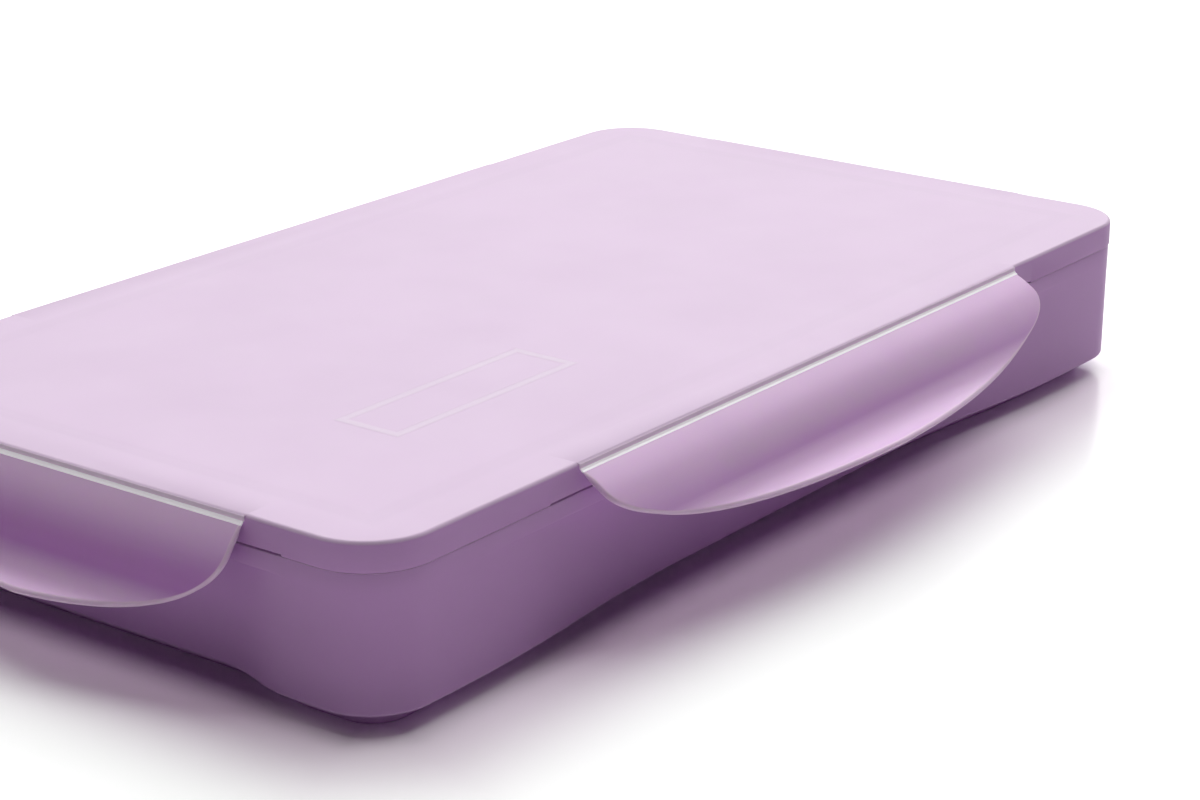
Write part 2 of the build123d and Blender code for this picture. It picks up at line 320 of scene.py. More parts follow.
def tray_section(deep):
    inner_wall = wall_inset + wall
    base_inset = wall_inset + slope * (ledge_z - foot_height)
    foot = base_inset + base_radius + foot_inset
    inner_floor = inner_wall + slope * (shelf_z - floor_z)
    return soften([
        (-foot - foot_width - 2 * MM - deep, pocket_top, 0, 1),
        (-foot - foot_width - deep, pocket_top, 0.4 * MM, 2),
        (-foot - foot_width - deep, 0, 0.25 * MM, 2),
        (-foot - deep, 0, 0.25 * MM, 2),
        (-foot - deep, foot_height, 0.25 * MM, 2),
        (-base_inset - deep, foot_height, base_radius, 7),
        (-wall_inset - deep, ledge_z, 0.5 * MM, 3),
        (-rim_overhang, ledge_z, 0.3 * MM, 3),
        (-rim_overhang, shoulder_z, 0.2 * MM, 3),
        (-skirt_thickness - 0.2 * MM, shoulder_z, 0.15 * MM, 1),
        (-skirt_thickness - 0.2 * MM, tongue_z, 0.3 * MM, 2),
        (-rim_overhang - wall, tongue_z, 0.3 * MM, 2),
        (-rim_overhang - wall, shelf_z, 0.3 * MM, 2),
        (-inner_wall - deep, shelf_z, 0.5 * MM, 3),
        (-inner_floor - deep, floor_z, 1.2 * MM, 4),
        (-inner_floor - deep - floor_margin, floor_z, 0, 1),
    ])


def ease_cuts(side):
    """Places along a side where the S-curves need a vertex, on both sides of the middle."""
    middle, length = recess_curves[side]
    steps = 16
    places = [middle + length * (step / steps - 0.5) for step in range(steps + 1)]
    return [sign * place for sign in (-1, 1) for place in places]


def add_foot_ribs(piece):
    """Two ribs that cross under the floor, inside the foot's ring."""
    inside = wall_inset + recess_depth + base_radius + foot_inset + foot_width / 2
    bpy.ops.object.select_all(action="DESELECT")
    ribs = []
    for length, width in ((box_length - 2 * inside, foot_rib), (foot_rib, box_width - 2 * inside)):
        bpy.ops.mesh.primitive_cube_add(size=1)
        rib = bpy.context.object
        rib.data.transform(Matrix.Diagonal((length, width, pocket_top + 0.2 * MM, 1)))
        rib.data.transform(Matrix.Translation((0, 0, pocket_top / 2 + 0.1 * MM)))
        with editing(rib):
            bpy.ops.mesh.select_all(action="SELECT")
            bpy.ops.mesh.bevel(offset=0.15 * MM, segments=2, affect="EDGES")
        finish_mesh(rib)
        ribs.append(rib)
    join(piece, ribs)


tray = draw_outline("tray", box_length, box_width, corner_radius, ease_cuts("front"), ease_cuts("left"))
tray_stations = outline_stations(tray, box_length, box_width, corner_radius)
loft(tray, tray_stations, [tray_section(recess(*station)) for station in tray_stations])
add_foot_ribs(tray)
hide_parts("tray_shell")
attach(tray, "tray")
report(tray)

# %% [markdown]
# ## The lid
# The lid's top edge has a small round. At a latch it is crisper, and a narrow steep facet runs from it
# down and out to the living hinge. The two sections have the same number of points, so one loft can go
# from one to the other within a fraction of a millimetre, which leaves the small step that the
# moulding really has.

# %% Model the lid
edge_round = 1 * MM
hinge_line = Vector((0.75 * MM, 1.75 * MM))     # outset and drop of the axis that a latch bends about
facet_up = Vector((-cos(radians(60)), -sin(radians(60))))
facet_in = Vector((facet_up.y, -facet_up.x))
strip_above = 0.55 * MM             # the white strip starts this far up the facet from the hinge line
slot_gap = 0.3 * MM                 # from a latch's end to the end of the facet
relief_margin = 10 * MM             # the shorter skirt runs on this far past the latch
step_width = 0.15 * MM
inner_margin = 9 * MM


def lid_section(hinged, relieved):
    edge = skirt_edge + (relief_height if relieved else 0)
    if hinged:
        lower = hinge_line + facet_up * strip_above
        under = lower - facet_in * (lower.x / facet_in.x)
        top = [(-0.4 * MM, box_height, 0.3 * MM, 1), (0.28 * MM, box_height - 0.32 * MM, 0.15 * MM, 2),
               (lower.x, box_height - lower.y, 0.05 * MM, 1), (under.x, box_height - under.y, 0.05 * MM, 1)]
    else:
        top = [(0, box_height, edge_round, 8)]
    return soften([
        (-inner_margin, box_height, 0, 1),
        *top,
        (0, edge, 0.2 * MM, 3),
        (-skirt_thickness, edge, 0.2 * MM, 2),
        (-skirt_thickness, tongue_z, 0.5 * MM, 3),
        (-inner_margin, tongue_z, 0, 1),
    ])


def lid_cuts(half):
    slot = half + slot_gap
    relief = half + relief_margin
    places = [slot - step_width, slot, relief, relief + step_width]
    return [sign * place for sign in (-1, 1) for place in places]


def lid_station_section(point, outward):
    if max(abs(outward.x), abs(outward.y)) < 0.999:
        return lid_section(False, False)
    along, side = (abs(point.x), "front") if abs(outward.y) > 0.999 else (abs(point.y), "left")
    half = sides[side][2]
    tiny = step_width / 4
    return lid_section(along < half + slot_gap - tiny, along < half + relief_margin + tiny)


lid = draw_outline("lid", box_length, box_width, corner_radius,
                   lid_cuts(sides["front"][2]), lid_cuts(sides["left"][2]))
lid_stations = outline_stations(lid, box_length, box_width, corner_radius)
loft(lid, lid_stations, [lid_station_section(*station) for station in lid_stations])
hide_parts("lid_shell")
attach(lid, "lid")
report(lid)

# %% [markdown]
# ## The latches
# A latch is a sheet 1.6 mm thick, so it is easiest to model flat and to roll into shape at the end.
# Flat, it is a plate with one straight edge, the hinge, and one long curved edge. A circle primitive
# gives the vertices of its outline, an extrusion gives the thickness, and the bevel tool rounds the
# curved edge as a moulding tool would. The last step lays every vertex on the latch's section, which
# is a bow of one radius that runs into a tighter flare the other way.

# %% The latch's section
root_angle = radians(40.6)
bow_angle = radians(81.2)
bow_radius = 23.5 * MM
flare_radius = 8.8 * MM
latch_thickness = 1.6 * MM
latch_side = 6.2 * MM               # straight stretch at each end, beside the hinge
root_thickness = 0.4 * MM
root_taper = 3 * MM
outline_fullness = 2.27
outline_bluntness = 1.31
bow_length = (bow_angle - root_angle) * bow_radius
latch_depth = bow_length + bow_angle * flare_radius
opened = {"front": radians(20.6), "right": 0, "back": 0, "left": 0}
snap_ends = {"front": 38.9 * MM, "right": 23.2 * MM, "back": 38.9 * MM, "left": 23.2 * MM}


def section_point(along, depth=0.0):
    """Outset and drop from the lid's top edge, at a distance from the hinge and a depth in the sheet."""
    if along <= bow_length:
        here = root_angle + along / bow_radius
        outset = bow_radius * (sin(here) - sin(root_angle))
        drop = bow_radius * (cos(root_angle) - cos(here))
    else:
        here = bow_angle - (along - bow_length) / flare_radius
        bow_out = bow_radius * (sin(bow_angle) - sin(root_angle))
        bow_down = bow_radius * (cos(root_angle) - cos(bow_angle))
        outset = bow_out + flare_radius * (sin(bow_angle) - sin(here))
        drop = bow_down + flare_radius * (cos(here) - cos(bow_angle))
    return hinge_line + Vector((outset - depth * sin(here), drop + depth * cos(here)))


def on_side(side, s, outset, drop):
    """The place in the box's frame of a point s along a side."""
    turn, reach, _ = sides[side]
    return Matrix.Rotation(radians(turn), 3, "Z") @ Vector((s, -reach - outset, box_height - drop))


def swing(point, angle):
    """Turns a section point about the hinge, outwards and up."""
    outset, drop = point - hinge_line
    return hinge_line + Vector((
        outset * cos(angle) + drop * sin(angle), drop * cos(angle) - outset * sin(angle)))


print("latch depth along its face in mm:", round(1000 * latch_depth, 2))

# %% Model one flat latch and roll it
def latch_edge_points(half, count):
    """The curved edge of the flat latch, as points (s, along), evenly spaced from end to end."""
    curve = [Vector((half, 0)), Vector((half, latch_side * 0.5))]
    fine = 400
    for step in range(fine + 1):
        turn = pi / 2 * step / fine
        curve.append(Vector((half * cos(turn) ** (2 / outline_bluntness),
                             latch_side + (latch_depth - latch_side) * sin(turn) ** (2 / outline_fullness))))
    curve += [Vector((-p.x, p.y)) for p in reversed(curve[:-1])]
    travel = [0.0]
    for a, b in zip(curve, curve[1:]):
        travel.append(travel[-1] + (b - a).length)
    points, segment = [], 0
    for k in range(count):
        wanted = travel[-1] * k / (count - 1)
        while segment < len(travel) - 2 and travel[segment + 1] < wanted:
            segment += 1
        share = (wanted - travel[segment]) / (travel[segment + 1] - travel[segment])
        points.append(curve[segment].lerp(curve[segment + 1], share))
    return points


def flat_latch(name, half):
    points = latch_edge_points(half, 161)
    bpy.ops.object.select_all(action="DESELECT")
    bpy.ops.mesh.primitive_circle_add(vertices=len(points), fill_type="NGON")
    piece = bpy.context.object
    piece.name = piece.data.name = name
    for vertex, point in zip(piece.data.vertices, points):
        vertex.co = (point.x, point.y, 0)
    with editing(piece):
        bpy.ops.mesh.select_all(action="SELECT")
        bpy.ops.mesh.extrude_region_move(TRANSFORM_OT_translate={"value": (0, 0, -latch_thickness)})
        bpy.ops.mesh.select_all(action="SELECT")
        bpy.ops.mesh.normals_make_consistent(inside=False)
        choose(piece, "edges", lambda e: abs(e.verts[0].co.z - e.verts[1].co.z) < 1e-6
               and max(v.co.y for v in e.verts) > 1e-6)
        bpy.ops.mesh.bevel(offset=0.75 * MM, segments=5, affect="EDGES", clamp_overlap=False)
        cuts = 56
        cut_across(1, [latch_depth * k / cuts for k in range(1, cuts)])
    rim = piece.data.attributes.new("rim", "FLOAT", "POINT")
    for vertex, value in zip(piece.data.vertices, rim.data):
        value.value = -latch_thickness + 0.01 * MM < vertex.co.z < -0.01 * MM
    return piece


def roll(piece, side):
    """Thins the plate towards the hinge and lays it on the latch's section."""
    for vertex in piece.data.vertices:
        s, along, z = vertex.co
        full = min(1, max(0, along) / root_taper)
        thickness = root_thickness + (latch_thickness - root_thickness) * full
        depth = -z * thickness / latch_thickness
        vertex.co = on_side(side, s, *swing(section_point(along, depth), opened[side]))


def snap_bar(side, half):
    """The bar on the inside of a latch whose tip ends just below the tray's ledge."""
    below_ledge, height, gap = 0.4 * MM, 1.8 * MM, 0.15 * MM
    top = box_height - ledge_z + below_ledge
    tip = gap - rim_overhang

    def within_sheet(drop):
        """Outset of the middle of the latch's wall at this drop."""
        along = [latch_depth * k / 400 for k in range(401)]
        return min((section_point(a, latch_thickness / 2) for a in along), key=lambda p: abs(p.y - drop)).x

    bpy.ops.object.select_all(action="DESELECT")
    bpy.ops.mesh.primitive_cube_add(size=1)
    bar = bpy.context.object
    root_top, root_low = top - height / 2, top + height * 1.5
    corners = {(1, 1): (within_sheet(root_top), root_top), (-1, 1): (tip, top),
               (-1, -1): (tip, top + height / 3), (1, -1): (within_sheet(root_low), root_low)}
    for vertex in bar.data.vertices:
        out, up = (1 if vertex.co.y < 0 else -1), (1 if vertex.co.z > 0 else -1)
        outset, drop = corners[out, up]
        vertex.co = (vertex.co.x * 2 * half, outset, drop)
    with editing(bar):
        bpy.ops.mesh.select_all(action="SELECT")
        bpy.ops.mesh.bevel(offset=0.2 * MM, segments=2, affect="EDGES")
    for vertex in bar.data.vertices:
        s, outset, drop = vertex.co
        vertex.co = on_side(side, s, *swing(Vector((outset, drop)), opened[side]))
    finish_mesh(bar)
    return bar


def model_latch(side):
    half = sides[side][2]
    piece = flat_latch(f"latch_on_{side}", half)
    roll(piece, side)
    finish_mesh(piece, 50)
    bar = snap_bar(side, half - snap_ends[side])
    join(piece, [bar])
    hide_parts(f"latch_{side}")
    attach(piece, f"latch_{side}")
    report(piece)
    return piece


latches = {side: model_latch(side) for side in sides}

# %% [markdown]
# ## The living hinges
# Where the plastic bends it is only about 0.4 mm thick, and bending has turned it white. This is the
# one piece that changes shape when a latch moves, so it is a thin strip of its own between the lid
# and the latch. A grid primitive is laid flat over the joint, given its thickness and then folded over
# the edge like the latch itself.

# %% Model the hinge strips
strip_below = 0.55 * MM             # from the hinge line down the latch
strip_proud = 0.03 * MM


def model_hinge_strip(side):
    turn, reach, half = sides[side]
    bpy.ops.object.select_all(action="DESELECT")
    bpy.ops.mesh.primitive_grid_add(x_subdivisions=2, y_subdivisions=13, size=1)
    strip = bpy.context.object
    strip.name = strip.data.name = f"hinge_strip_{side}"
    apply_modifier(strip, "SOLIDIFY", thickness=0.36 * MM, offset=-1)
    for vertex in strip.data.vertices:
        x, y, z = vertex.co
        run = (0.5 - y) * (strip_above + strip_below) - strip_above
        depth = -z - strip_proud
        if run <= 0:
            point = hinge_line + facet_up * -run + facet_in * depth
        else:
            point = swing(section_point(run, depth), opened[side])
        vertex.co = on_side(side, x * 2 * half, *point)
    finish_mesh(strip, 60)
    toward_lid = Vector(on_side(side, 0, *(hinge_line + facet_up * 0.3 * MM)))
    toward_latch = Vector(on_side(side, 0, *swing(section_point(0.3 * MM), opened[side])))
    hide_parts(f"hinge_web_{side}")
    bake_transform(strip)
    report(strip)
    return strip


hinge_strips = {side: model_hinge_strip(side) for side in sides}

# %% [markdown]
# ## The mixing palette
# The palette is vacuum-formed from one sheet, so it is modelled as a sheet too. A flat plate is cut
# along the borders of the wells and opened there. Each well is a small loft of its own, and the bridge
# tool joins its mouth to the opening. Solidify then gives the whole sheet its thickness at once, which
# leaves the same hollow between two wells as on the real palette.

# %% Model the palette
palette_low, palette_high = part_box("mixing_palette")
palette_length = palette_high.x - palette_low.x
palette_width = palette_high.y - palette_low.y
palette_top = palette_high.z
palette_thickness = 1.2 * MM
palette_corner = corner_radius - rim_overhang - wall - 0.4 * MM
well_gap = 2 * MM
well_corner = 4.8 * MM
room_inset = wall_inset + recess_depth + wall + slope * 9.5 * MM + 2 * MM
room_x, room_y = box_length / 2 - room_inset, box_width / 2 - room_inset
small_width = 36 * MM
large_width = 2 * room_y - small_width - well_gap
grip_radius = 11 * MM
grip_depth = palette_length / 2 - room_x - 0.1 * MM


def wells():
    """Centre, outer size and depth of every well."""
    for count, width, y, depth in ((6, small_width, room_y - small_width / 2, 7.5 * MM),
                                   (3, large_width, -room_y + large_width / 2, 9.5 * MM)):
        length = (2 * room_x - (count - 1) * well_gap) / count
        for k in range(count):
            yield Vector((-room_x + length / 2 + k * (length + well_gap), y)), (length, width), depth


def in_well(point, margin=0.0):
    return any(abs(point.x - spot.x) < size[0] / 2 + margin and abs(point.y - spot.y) < size[1] / 2 + margin
               for spot, size, _ in wells())


def model_well(number, spot, size, depth):
    length, width = (side - 2 * palette_thickness for side in size)
    lip = 0.5 * MM
    well = draw_outline(f"well_{number}", length, width, well_corner, corner_steps=8)
    stations = outline_stations(well, length, width, well_corner)
    low = palette_top - depth
    section = soften([(lip, palette_top, 0, 1), (0, palette_top, lip, 4), (0, low, 2.4 * MM, 6),
                      (-8 * MM, low, 0, 1)])
    loft(well, stations, [section] * len(stations))
    with editing(well):
        choose(well, "faces", lambda f: len(f.verts) > 4 and f.calc_center_median().z > palette_top - 1e-6)
        bpy.ops.mesh.delete(type="ONLY_FACE")
        bpy.ops.mesh.select_all(action="SELECT")
        bpy.ops.mesh.normals_make_consistent(inside=True)
        bpy.ops.transform.translate(value=(*spot, 0))
    return well


def model_palette():
    grip_cuts = [sign * grip_radius * sin(radians(10 * k)) for sign in (-1, 1) for k in range(1, 10)]
    plate = draw_outline("palette", palette_length, palette_width, palette_corner, (), [0, *grip_cuts], 10)
    for vertex in plate.data.vertices:
        if abs(vertex.co.x) > palette_length / 2 - 1e-5 and abs(vertex.co.y) < grip_radius:
            notch = min(grip_depth, sqrt(grip_radius ** 2 - vertex.co.y ** 2))
            vertex.co.x -= notch if vertex.co.x > 0 else -notch
        vertex.co.z = palette_top
    with editing(plate):
        cut_across(1, [room_y, room_y - small_width, room_y - small_width - well_gap, -room_y])
        for spot, size, _ in wells():
            for x in (spot.x - size[0] / 2, spot.x + size[0] / 2):
                choose(plate, "faces", lambda f: abs(f.calc_center_median().y - spot.y) < size[1] / 2)
                bpy.ops.mesh.bisect(plane_co=(x, 0, 0), plane_no=(1, 0, 0))
        choose(plate, "faces", lambda f: in_well(f.calc_center_median()))
        bpy.ops.mesh.delete(type="FACE")
        bpy.ops.mesh.select_all(action="SELECT")
        bpy.ops.mesh.normals_make_consistent(inside=False)
    parts = [model_well(number, *well) for number, well in enumerate(wells(), start=1)]
    join(plate, parts)
    with editing(plate):
        for spot, size, _ in wells():
            half_x, half_y = size[0] / 2 + 1e-5, size[1] / 2 + 1e-5
            choose(plate, "edges", lambda e: e.is_boundary and all(
                abs(v.co.x - spot.x) < half_x and abs(v.co.y - spot.y) < half_y for v in e.verts))
            bpy.ops.mesh.bridge_edge_loops()
        bpy.ops.mesh.select_all(action="SELECT")
        bpy.ops.mesh.normals_make_consistent(inside=False)
        mesh = bmesh.from_edit_mesh(plate.data)
        upward = sum(face.normal.z * face.calc_area() for face in mesh.faces)
        if upward < 0:
            bpy.ops.mesh.flip_normals()
    apply_modifier(plate, "SOLIDIFY", thickness=palette_thickness, offset=-1, use_even_offset=True)
    apply_modifier(plate, "BEVEL", width=0.3 * MM, segments=2, limit_method="ANGLE", angle_limit=radians(60))
    bpy.ops.object.shade_smooth_by_angle(angle=radians(40))
    return plate


palette = model_palette()
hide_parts("mixing_palette")
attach(palette, "palette")
report(palette)

# %% [markdown]
# ## The cups
# One thin-walled cup is modelled by the same loft as the tray and then copied to its thirty-six places.
# The places come from the frame: every block of paint stands in the middle of its cup.

# %% Model the cups
columns, rows = 9, 4
cup_names = [[f"paint_{row * columns + column + 1:02d}" for column in range(columns)] for row in range(rows)]
paint_low, paint_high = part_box("paint_01")
cup_base = floor_z
cup_top = cup_base + 14 * MM
cup_wall = 0.8 * MM
cup_flange = 1 * MM
cup_slope = tan(radians(3))
cup_corner = 5 * MM
paint_drop = cup_top - paint_high.z
mouth_x = paint_high.x - paint_low.x + 2 * (cup_wall + cup_slope * paint_drop)
mouth_y = paint_high.y - paint_low.y + 2 * (cup_wall + cup_slope * paint_drop)


def cup_place(name):
    low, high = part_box(name)
    return (low + high) / 2


def model_cup():
    length, width = mouth_x + 2 * cup_flange, mouth_y + 2 * cup_flange
    cup = draw_outline("cup", length, width, cup_corner + cup_flange, corner_steps=7)
    stations = outline_stations(cup, length, width, cup_corner + cup_flange)
    taper = cup_slope * (cup_top - cup_base)
    section = soften([
        (-cup_flange - taper - 4 * MM, cup_base, 0, 1),
        (-cup_flange - taper, cup_base, 1.2 * MM, 3),
        (-cup_flange, cup_top - cup_wall, 0.2 * MM, 1),
        (0, cup_top - cup_wall, 0.3 * MM, 2),
        (0, cup_top, 0.35 * MM, 2),
        (-cup_flange - cup_wall, cup_top, 0.35 * MM, 3),
        (-cup_flange - cup_wall - taper, cup_base + cup_wall, 1.2 * MM, 3),
        (-cup_flange - cup_wall - taper - 4 * MM, cup_base + cup_wall, 0, 1),
    ])
    return loft(cup, stations, [section] * len(stations))


def copies(original, name, places):
    """Copies of a piece at these places, joined into one object."""
    made = []
    for place in places:
        copy = original.copy()
        copy.data = original.data.copy()
        copy.data.transform(Matrix.Translation(place))
        bpy.context.collection.objects.link(copy)
        made.append(copy)
    join(made[0], made[1:])
    made[0].name = made[0].data.name = name
    return made[0]


cup = model_cup()
cup_rows = []
for row, names in enumerate(cup_names, start=1):
    places = [Vector((cup_place(name).x, cup_place(name).y, 0)) for name in names]
    piece = copies(cup, f"cups_in_row_{row}", places)
    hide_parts(f"cups_row_{row}")
    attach(piece, "tray")
    cup_rows.append(piece)
    report(piece)
bpy.data.objects.remove(cup)

# %% [markdown]
# ## The paints
# Gouache is filled in as a soft paste. It clings a little to the wall of the cup, settles lower in the
# middle, and keeps the swirl of the filling nozzle. So the block of paint is a loft whose top closes in
# by many rings, and each ring is raised or lowered by a small wave. Every cup gets a wave of its own.

# %% Model the paints
paint_gap = 0.02 * MM
ring_steps = [0.0, 0.4, 1.0, 2.0, 3.2, 4.6, 6.2, 8.0, 10.0, 12.2, 14.0]
swirl_height = 0.32 * MM
clinging = 0.55 * MM


def paint_surface(point, middle, radius, seed):
    """Height above the level of the paint, at a point of its surface."""
    away = point - middle
    far = away.length / radius
    turn = atan2(away.y, away.x)
    swirl = sin(2 * turn + 5.5 * far + 1.7 * seed) * (1 - far) * far * 3
    ripple = 0.35 * sin(3 * turn - 8 * far + 0.9 * seed)
    return swirl_height * (swirl + ripple * far * (1 - far) * 2) - 0.35 * MM * (1 - far * far)


def model_paint(name, seed):
    low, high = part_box(name)
    length, width = high.x - low.x - 2 * paint_gap, high.y - low.y - 2 * paint_gap
    corner = cup_corner - cup_wall - cup_slope * paint_drop
    middle = Vector(((low.x + high.x) / 2, (low.y + high.y) / 2))
    taper = cup_slope * (high.z - low.z)
    paint = draw_outline(f"gouache_{name[-2:]}", length, width, corner, corner_steps=7)
    stations = outline_stations(paint, length, width, corner)
    level = high.z - clinging * 0.4
    sections = []
    for point, outward in stations:
        section = [(-taper - 4 * MM, low.z), (-taper, low.z), (0, high.z - 0.1 * MM)]
        for step in ring_steps:
            inset = 0.15 * MM + step * MM
            cling = clinging * (1 - min(1, step / 3.2)) ** 2
            height = paint_surface(point + outward * -inset, Vector((0, 0)), width / 2, seed)
            section.append((-inset, level + cling + height * min(1, step / 2)))
        sections.append(section)
    stations = [(point + middle, outward) for point, outward in stations]
    loft(paint, stations, sections)
    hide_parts(name)
    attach(paint, "tray")
    return paint


paints = {name: model_paint(name, seed) for seed, name in enumerate(sum(cup_names, []))}
print(len(paints), "paints, each with", len(paints["paint_01"].data.polygons), "faces")

# %% [markdown]
# ## Materials: a little shader arithmetic
# A finish is a node tree. `Finish.node` adds any node: its settings are set first, then its sockets. The
# numbers that come out are `Value`s, and Python's own operators on them add Math nodes, so a pattern
# reads like a formula.

# %% Helpers for materials
class Value:
    """A number in a material. Operators on it add Math nodes."""

    def __init__(self, finish, socket):
        self.finish, self.socket = finish, socket

    def _math(self, operation, first, second):
        return self.finish.node("ShaderNodeMath", {"operation": operation}, {0: first, 1: second})

    def __add__(self, other):
        return self._math("ADD", self, other)

    def __sub__(self, other):
        return self._math("SUBTRACT", self, other)

    def __rsub__(self, other):
        return self._math("SUBTRACT", other, self)

    def __mul__(self, other):
        return self._math("MULTIPLY", self, other)

    __radd__, __rmul__ = __add__, __mul__

    def __truediv__(self, other):
        return self._math("DIVIDE", self, other)

    def larger(self, other):
        return self._math("MAXIMUM", self, other)

    def smaller(self, other):
        return self._math("MINIMUM", self, other)

    def size(self):
        return self.finish.node("ShaderNodeMath", {"operation": "ABSOLUTE"}, {0: self})

    def rising(self, start, end):
        """0 below start, 1 above end, and a smooth ramp between them."""
        return self.finish.node("ShaderNodeMapRange", {"interpolation_type": "SMOOTHSTEP"},
                                {"Value": self, "From Min": start, "From Max": end}, "Result")

    def line_at(self, place, width):
        """1 on a line where the value is at this place, and 0 away from it."""
        return 1 - (self - place).size().rising(0.25 * width, 0.75 * width)


class Finish:
    """A material under construction, with its shader's constant values set."""

    def __init__(self, name, **shader_values):
        self.material = bpy.data.materials.new(name)
        self.material.use_nodes = True
        self.tree = self.material.node_tree
        self.shader = self.tree.nodes["Principled BSDF"]
        for socket, value in shader_values.items():
            self.shader.inputs[socket.replace("_", " ")].default_value = value
        self.place = self.node("ShaderNodeTexCoord", {}, {}, "Object")

    def node(self, kind, settings, sockets, output=0):
        added = self.tree.nodes.new(kind)
        for name, value in settings.items():
            setattr(added, name, value)
        for name, value in sockets.items():
            self.connect(value, added.inputs[name])
        return Value(self, added.outputs[output])

    def connect(self, value, socket):
        if isinstance(value, Value):
            self.tree.links.new(value.socket, socket)
        else:
            socket.default_value = value

    def set(self, socket, value):
        self.connect(value, self.shader.inputs[socket])

    def cloud(self, scale, detail=2.0, stretch=(1, 1, 1)):
        """Soft noise from 0 to 1 with so many patches to the metre, drawn out along an axis by stretch."""
        place = self.place
        if stretch != (1, 1, 1):
            place = self.node("ShaderNodeMapping", {}, {"Vector": place, "Scale": stretch})
        return self.node("ShaderNodeTexNoise", {}, {"Vector": place, "Scale": scale, "Detail": detail})

    def axes(self):
        split = self.node("ShaderNodeSeparateXYZ", {}, {"Vector": self.place})
        outputs = split.socket.node.outputs
        return [Value(self, outputs[k]) for k in range(3)]

    def mixed(self, share, first, second):
        """A colour between two colours."""
        return self.node("ShaderNodeMix", {"data_type": "RGBA"}, {0: share, 6: first, 7: second}, 2)

    def bump(self, height, distance):
        """Raises the surface by height times distance, in metres."""
        self.set("Normal", self.node("ShaderNodeBump", {}, {"Height": height, "Distance": distance}))


def linear(red, green, blue):
    """A colour as the shader wants it, from the 0 to 255 values of a screen."""
    channels = [value / 255 for value in (red, green, blue)]
    return (*[c / 12.92 if c <= 0.04045 else ((c + 0.055) / 1.055) ** 2.4 for c in channels], 1)


def wear(piece, material):
    """Gives a piece one material."""
    piece.data.materials.clear()
    piece.data.materials.append(material)

# %% [markdown]
# ## Lilac polypropylene
# The plastic is satin and a little cloudy, because polypropylene lets some light in. Where it faces up
# it is painted paler, a painted sheen for the light from above, so the pieces carry an attribute that
# says how far each vertex faces up. The colour wanders very slightly over a few centimetres, the
# surface has the fine grain of a spark-eroded mould, and a little light scatters under the skin. The
# latches carry a deeper copy of the lilac, painted shade for their steep faces, and their thin rims get
# a painted highlight. The tray gets a thin painted highlight along its lower edge, and the lid a
# painted glow on the steep facet at each hinge. The lid also shows how it was moulded: a faint sink
# line runs just inside its edge, over the tray's wall, with a little painted shade in it, and a plain
# raised frame marks the place for a label, with a painted highlight along its rib.

# %% Mix the plastic
# The pale colours here are a painted sheen for faces that look up. The first deep lilac is the plastic's own
# colour, and the deeper one for the latches is a painted shade copy of it.
pale_lilac = linear(234, 206, 237)
deep_lilac = linear(218, 168, 228)
shaded_latch_lilac = linear(216, 150, 228)
latch_pale = linear(246, 206, 251)
latch_rim_highlight = linear(255, 222, 252)
painted_facet_glow = linear(255, 230, 255)


def darker(colour, share):
    return (*[channel * share for channel in colour[:3]], 1)


def moulded(name, deep, pale, level, scatter=0.15, reach=3 * MM):
    """Plastic painted from deep to pale as the facing attribute passes level, a painted sheen on faces that
    look up.
    """
    finish = Finish(name, IOR=1.49, Specular_IOR_Level=0.2, Subsurface_Weight=scatter, Subsurface_Scale=reach,
                    Subsurface_Radius=(0.9, 0.7, 1.0))
    facing = finish.node("ShaderNodeAttribute", {"attribute_name": "facing_up"}, {}, "Fac")
    painted_sheen = finish.mixed(facing.rising(*level), deep, pale)
    finish.colour = finish.mixed(finish.cloud(24, 3).rising(0.3, 0.75) * 0.06, painted_sheen, (0.3, 0.2, 0.3, 1))
    finish.grain = finish.cloud(2200, 2)
    finish.set("Roughness", finish.cloud(60, 2) * 0.1 + 0.33)
    return finish


def note_facing(piece):
    """Stores how far each vertex faces up while the piece is in its place at rest, for the painted sheen."""
    facing = piece.data.attributes.new("facing_up", "FLOAT", "POINT")
    for vertex, value in zip(piece.data.vertices, facing.data):
        value.value = max(0, vertex.normal.z)


def latch_plastic():
    # The latch's deep colour is a painted shade copy of the lilac, for its steep faces, and its pale colour
    # is a painted sheen where it looks up.
    finish = moulded("lilac_polypropylene_latch", shaded_latch_lilac, latch_pale, (0.15, 0.7), 0.5, 1.5 * MM)
    rim = finish.node("ShaderNodeAttribute", {"attribute_name": "rim"}, {}, "Fac")
    # The rim is painted almost white, a painted highlight along the latch's thin rounded edge.
    finish.set("Base Color", finish.mixed(rim * 0.9, finish.colour, latch_rim_highlight))
    finish.bump(finish.grain, 0.006 * MM)
    return finish.material


def tray_plastic():
    finish = moulded("lilac_polypropylene_tray", deep_lilac, pale_lilac, (0.05, 0.6))
    z = finish.axes()[2]
    # A painted highlight: a thin paler line along the rounded lower edge of the wall, just above the foot.
    painted_glint = z.line_at(foot_height + 0.5 * MM, 0.6 * MM)
    finish.set("Base Color", finish.mixed(painted_glint * 0.25, finish.colour, pale_lilac))
    finish.bump(finish.grain, 0.006 * MM)
    return finish.material


label_frame = ((-72.4 * MM, -37.7 * MM), (63 * MM, 16.5 * MM), 1.1 * MM)   # centre, size, rib's width
sink_inset = 13.5 * MM


